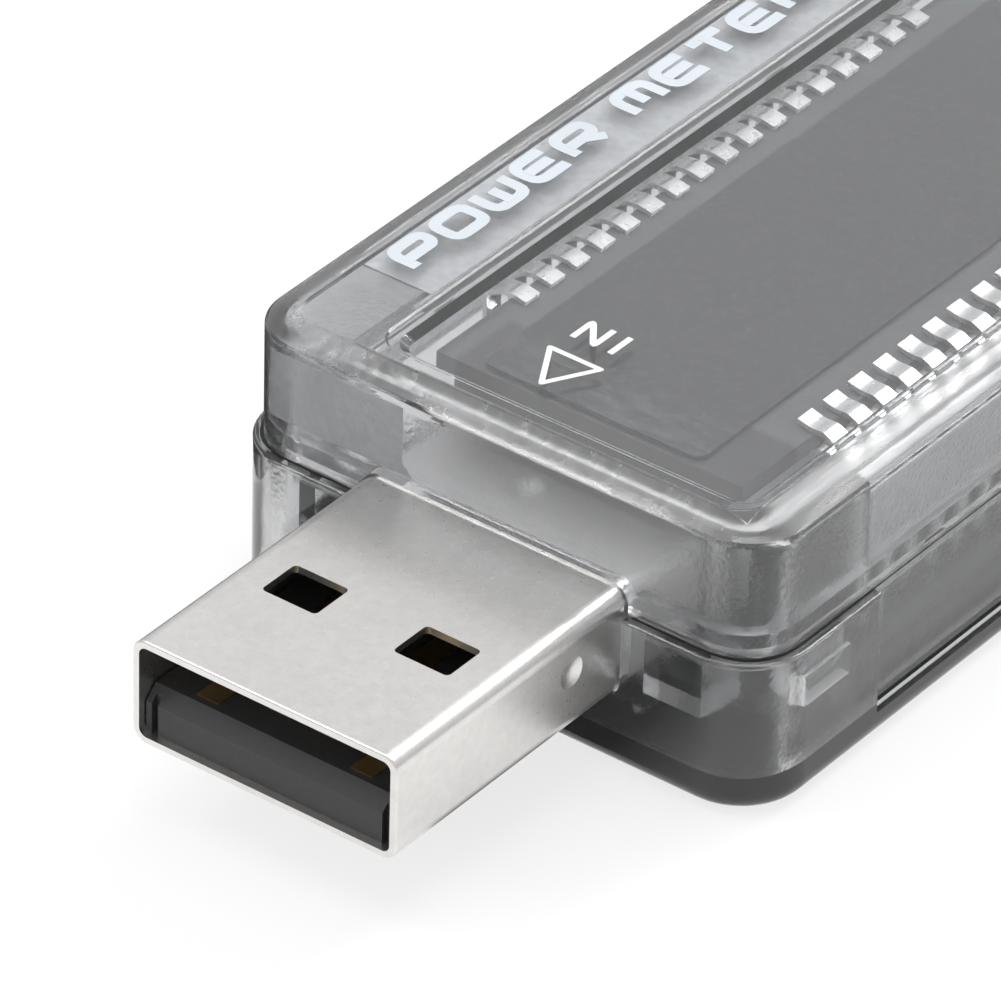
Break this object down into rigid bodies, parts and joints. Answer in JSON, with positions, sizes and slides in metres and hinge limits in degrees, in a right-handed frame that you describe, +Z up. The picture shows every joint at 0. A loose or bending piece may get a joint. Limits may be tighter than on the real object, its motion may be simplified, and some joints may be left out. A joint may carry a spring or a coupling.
{
  "type": "usb power meter",
  "caption": "Inline USB power meter in a clear smoked case, with a USB-A plug, a USB-A socket, a segment display and a side button",
  "frame": {"origin": "under the middle of the case and plug together, on the plane of the flat underside", "axes": "+Y runs along the length from the plug to the socket, +X across the width, +Z up through the display"},
  "size_m": [0.0248, 0.067, 0.0123],
  "materials": {
    "smoked_clear_plastic": "gloss",
    "board_laminate": "satin",
    "solder": "satin",
    "display_glass": "gloss",
    "polariser_film": "gloss",
    "light_guide": "satin",
    "white_film": "matte",
    "white_plastic": "matte",
    "tinned_metal": "satin",
    "nickel_shell": "satin",
    "black_plastic": "matte",
    "gold_contacts": "satin",
    "tan_ceramic": "satin",
    "yellow_plastic": "satin",
    "lamp_plastic": "gloss",
    "button_plastic": "satin"
  },
  "bodies": {
    "case": {"top_cover": "smoked_clear_plastic", "bottom_cover": "smoked_clear_plastic", "main_board": "board_laminate", "solder_joints": "solder", "lcd_front_glass": "display_glass", "lcd_rear_glass": "display_glass", "lcd_front_polariser": "polariser_film", "lcd_rear_polariser": "polariser_film", "backlight_guide": "light_guide", "backlight_diffuser": "white_film", "display_posts": "white_plastic", "lcd_pins_left": "tinned_metal", "lcd_pins_right": "tinned_metal", "plug_shell": "nickel_shell", "plug_insulator": "black_plastic", "plug_contacts": "gold_contacts", "socket_shell": "nickel_shell", "socket_insulator": "white_plastic", "socket_contacts": "gold_contacts", "mcu_body": "black_plastic", "mcu_leads": "tinned_metal", "memory_body": "black_plastic", "memory_leads": "tinned_metal", "regulator_body": "black_plastic", "regulator_leads": "tinned_metal", "resistor_bodies": "black_plastic", "resistor_caps": "tinned_metal", "capacitor_bodies": "tan_ceramic", "capacitor_caps": "tinned_metal", "current_shunt": "tinned_metal", "bulk_capacitor": "yellow_plastic", "crystal_can": "nickel_shell", "indicator_led": "lamp_plastic", "switch_body": "black_plastic", "switch_cover": "nickel_shell", "switch_leads": "tinned_metal"},
    "button": {"button_cap": "button_plastic", "switch_plunger": "black_plastic"}
  },
  "joints": [
    {"name": "button_press", "type": "slide", "parent": "case", "child": "button", "axis": [-1, 0, 0], "range_m": [0, 0.00025], "stiffness_N_per_m": 400}
  ]
}
